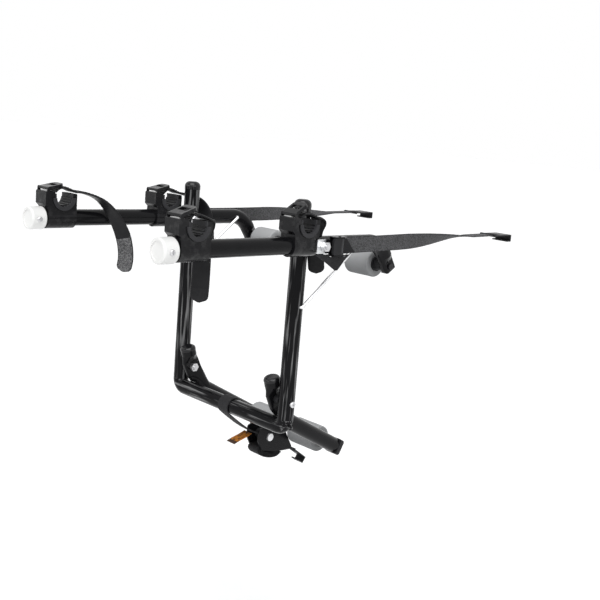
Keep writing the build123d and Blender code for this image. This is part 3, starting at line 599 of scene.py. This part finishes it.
def tag_look():
    """Orange cloth with uneven dark marks, darker where it is sewn and at its hem."""
    s = Shader("tag cloth")
    along, across = s.strip()
    print_marks, fine = s.noise(330, 3, (1, 0.45, 0.45)), s.noise(1500, 2)
    marked = (print_marks > 0.53) * 0.75 + (along < sewn_to) * 0.5 + (along > hem_from) * 0.97
    orange = s.mix(fine, (0.55, 0.17, 0.015), (0.75, 0.30, 0.04))
    color = s.mix(marked.min(0.97), orange, (0.03, 0.014, 0.006))
    return s.surface(color, 0.7 + 0.1 * fine, 0.0, 0.0, s.bump(fine, 0.0002, 0.5))


path = route([(0, 45.8, -342.2), (0, 37, -345.6), (0, 27, -348.2), (0, 17, -350.6),
              (0, 8.4, -353.9)])
made = strip("tag", path, lambda share: sideways, tag_wide, tag_thick, tag_look())
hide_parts("lower_strap_tag")
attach(made, "frame")


# Rungs and stitches. The cups have moulded rungs that grip a bike's tube, the straps
# have rungs that the buckles catch, and the webbing is sewn in rows near its hooks.
def repeated(name, spots, size, material, seed=1, unevenness=0.06):
    """Small bars, one at each spot, made by a node tree and kept as plain mesh."""
    tree = bpy.data.node_groups.new(name, "GeometryNodeTree")
    given = (("Geometry", "Geometry", None), ("Bar size", "Vector", size),
             ("Unevenness", "Float", unevenness), ("Seed", "Int", seed))
    for label, kind, default in given:
        made = tree.interface.new_socket(label, in_out="INPUT", socket_type="NodeSocket" + kind)
        if default is not None:
            made.default_value = default
    tree.interface.new_socket("Geometry", in_out="OUTPUT", socket_type="NodeSocketGeometry")

    def node(kind, **inputs):
        made = tree.nodes.new(kind)
        for key, item in inputs.items():
            slot = made.inputs[key.replace("_", " ")]
            if isinstance(item, bpy.types.NodeSocket):
                tree.links.new(item, slot)
            else:
                slot.default_value = item
        return made

    start = tree.nodes.new("NodeGroupInput")
    bar = node("GeometryNodeMeshCube", Size=start.outputs["Bar size"])
    slant = node("GeometryNodeInputNamedAttribute", Name="slant")
    slant.data_type = "FLOAT_VECTOR"
    spread = node("FunctionNodeRandomValue", Seed=start.outputs["Seed"])
    spread.data_type = "FLOAT"
    least = node("ShaderNodeMath")
    least.operation = "SUBTRACT"
    least.inputs[0].default_value = 1.0
    tree.links.new(start.outputs["Unevenness"], least.inputs[1])
    tree.links.new(least.outputs[0], spread.inputs[2])
    spread.inputs[3].default_value = 1.0
    put = node("GeometryNodeInstanceOnPoints", Points=start.outputs["Geometry"],
               Instance=bar.outputs["Mesh"])
    tree.links.new(slant.outputs["Attribute"], put.inputs["Rotation"])
    tree.links.new(spread.outputs[1], put.inputs["Scale"])
    real = node("GeometryNodeRealizeInstances", Geometry=put.outputs["Instances"])
    paint_it = node("GeometryNodeSetMaterial", Geometry=real.outputs["Geometry"],
                    Material=material)
    end = tree.nodes.new("NodeGroupOutput")
    tree.links.new(paint_it.outputs["Geometry"], end.inputs["Geometry"])
    mesh = bpy.data.meshes.new(name)
    mesh.from_pydata([tuple(spot) for spot, slope in spots], [], [])
    slopes = mesh.attributes.new("slant", "FLOAT_VECTOR", "POINT")
    for item, (spot, slope) in zip(slopes.data, spots):
        item.vector = slope
    made = bpy.data.objects.new(name, mesh)
    scene.collection.objects.link(made)
    modifier = made.modifiers.new("repeat", "NODES")
    modifier.node_group = tree
    bpy.context.view_layer.update()
    seen = made.evaluated_get(bpy.context.evaluated_depsgraph_get())
    plain = bpy.data.meshes.new_from_object(seen)
    made.modifiers.remove(modifier)
    made.data = plain
    return made


stitch_thread = plastic("stitch thread", (0.25, 0.25, 0.26), (0.4, 0.4, 0.41), 0.6)
cup_z, cup_r, tooth_step, tooth_lift = 31.4, 12.7, 4.6 * mm, 1.8 * mm
rung_size = (27 * mm, 1.6 * mm, 1.5 * mm)
tooth_size = (19 * mm, 1.7 * mm, 1.3 * mm)
stitch_size, stitch_step, stitch_rows = (1.5 * mm, 0.6 * mm, 0.5 * mm), 2.4 * mm, (412, 419)
stitch_x, stitch_z = 166.5 * mm, 6.7 * mm
for side, sign in sides.items():
    grips, teeth = [], []
    for row, back in cup_x.items():
        for step in range(-4, 5):
            angle = math.radians(21 * step)
            y, z = -back + cup_r * math.sin(angle), cup_z - cup_r * math.cos(angle)
            grips.append(((sign * arm_x * mm, y * mm, z * mm), (angle, 0, 0)))
        start = cup_span + tails[side + "_" + row][:4]
        line = route([(sign * (arm_x - x), y - back, z) for x, y, z in start])
        gone = 0.0
        for a, b in zip(line, line[1:]):
            gone += (b - a).length
            if gone > tooth_step:
                gone = 0.0
                way = (b - a).normalized()
                drop = way.cross(Vector((1, 0, 0))).normalized() * tooth_lift
                drop = drop if drop.z > 0 else -drop
                teeth.append((a + drop, (math.atan2(way.z, way.y), 0, 0)))
    for name, spots, size in (("cup_rungs_" + side, grips, rung_size),
                              ("strap_rungs_" + side, teeth, tooth_size)):
        made = repeated(name, spots, size, cradle_black)
        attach(made, "arm_" + side)
    rows = []
    for y in stitch_rows:
        for step in range(-4, 5):
            x = sign * stitch_x + step * stitch_step
            rows.append(((x, y * mm, stitch_z), (0, 0, 0)))
    made = repeated("stitches_" + side, rows, stitch_size, stitch_thread)
    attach(made, "arm_" + side)


# Room, light and camera. The camera stands where the photograph was taken from.
def seen_white(s):
    """One for rays that show the background: straight, by reflection or through glass."""
    rays = [s.node("LightPath", out=name) for name in
            ("Is Camera Ray", "Is Glossy Ray", "Is Transmission Ray")]
    return rays[0].max(rays[1]).max(rays[2])


def plane(name, size, drop, shade):
    s = Shader(name)
    speck = s.noise(3)
    s.feed(s.bsdf.inputs["Emission Color"], s.mix(seen_white(s), (0, 0, 0), (0.2, 0.2, 0.2)))
    s.bsdf.inputs["Emission Strength"].default_value = 1.0
    s.surface(s.mix(speck, shade, tuple(c * 0.98 for c in shade)), 0.9 + 0.05 * speck)
    half = size / 2
    corners = [(-half, -half, drop), (half, -half, drop), (half, half, drop), (-half, half, drop)]
    shown(name, corners, [(0, 1, 2, 3)], s.material, False)


plane("floor", 80, -0.75, (0.96, 0.96, 0.96))


def lamp(kind, name, spot, aim, power, **settings):
    data = bpy.data.lights.new(name, kind)
    data.energy = power
    for key, item in settings.items():
        setattr(data, key, item)
    made = bpy.data.objects.new(name, data)
    made.location = spot
    made.rotation_euler = (Vector(aim) - Vector(spot)).to_track_quat("-Z", "Y").to_euler()
    scene.collection.objects.link(made)


lamp("SUN", "sky", (0.9, -1.1, 2.2), (0, 0, 0), 2.7, angle=math.radians(55))
strip_light = {"shape": "RECTANGLE", "size": 2.4, "size_y": 0.35}
lamp("AREA", "side strip", (2.4, -0.6, 0.9), (0, 0, -0.1), 16, **strip_light)
lamp("AREA", "rear strip", (-0.8, -2.6, 0.9), (0, 0, -0.1), 14, **strip_light)

world = bpy.data.worlds.new("room")
scene.world = world
air = Shader("room", world)
tree = air.tree
room = tree.nodes["Background"]
room.inputs["Color"].default_value = (0.93, 0.96, 1, 1)
room.inputs["Strength"].default_value = 0.16
white_back = tree.nodes.new("ShaderNodeBackground")
white_back.inputs["Color"].default_value = (1, 1, 1, 1)
blend = tree.nodes.new("ShaderNodeMixShader")
air.feed(blend.inputs[0], seen_white(air))
tree.links.new(room.outputs[0], blend.inputs[1])
tree.links.new(white_back.outputs[0], blend.inputs[2])
tree.links.new(blend.outputs[0], tree.nodes["World Output"].inputs["Surface"])

camera = bpy.data.objects.new("camera", bpy.data.cameras.new("camera"))
scene.collection.objects.link(camera)
scene.camera = camera
spot, lean_over = (1.1131, -0.9739, 0.1671), math.radians(4.796)
view = Vector((-0.69438, 0.69641, -0.18122)).normalized()
level = view.cross(Vector((0, 0, 1))).normalized()
rise = level.cross(view)
right = level * math.cos(lean_over) + rise * math.sin(lean_over)
up = rise * math.cos(lean_over) - level * math.sin(lean_over)
turn = Matrix((right, up, -view)).transposed().to_4x4()
camera.matrix_world = Matrix.Translation(spot) @ turn
camera.data.sensor_width = 36
camera.data.lens = 56.38
camera.data.clip_start = 0.05
scene.view_settings.view_transform = "Standard"
